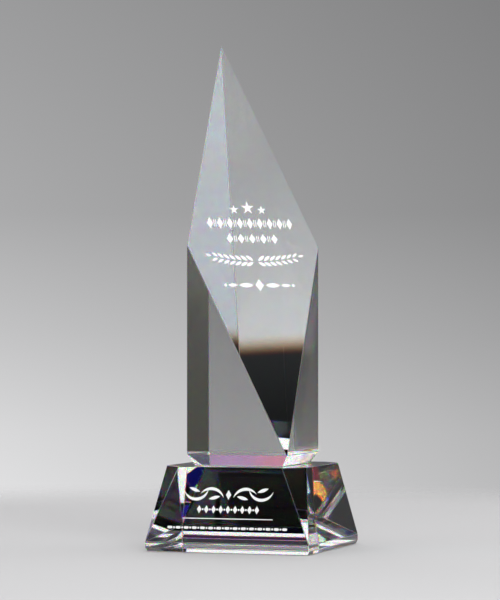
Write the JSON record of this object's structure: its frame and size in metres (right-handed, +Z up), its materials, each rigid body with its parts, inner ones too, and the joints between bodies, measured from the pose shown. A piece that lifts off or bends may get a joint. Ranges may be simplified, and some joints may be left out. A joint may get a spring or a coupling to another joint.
{
  "type": "crystal award",
  "caption": "Crystal award: a square clear spire cut by one slanted kite-shaped facet, bonded upright on a tapered clear block, with white-filled engraved ornament.",
  "frame": {"origin": "centre of the flat underside of the block", "axes": "+Z up to the spire's tip, -Y to the engraved front of the block, +X to the right of someone facing that front"},
  "size_m": [0.1, 0.1, 0.302],
  "materials": {
    "crystal": "polished optical crystal",
    "adhesive": "clear cured adhesive",
    "white_fill": "matte white fill in sand-carved pockets"
  },
  "bodies": {
    "root": {"crystal_block": "crystal", "crystal_spire": "crystal", "bond_film": "adhesive", "star_row_fill": "white_fill", "long_bead_row_fill": "white_fill", "short_bead_row_fill": "white_fill", "laurel_left_fill": "white_fill", "laurel_right_fill": "white_fill", "spindle_row_fill": "white_fill", "flourish_fill": "white_fill", "lozenge_row_fill": "white_fill", "rule_fill": "white_fill", "dash_row_fill": "white_fill"}
  },
  "joints": []
}
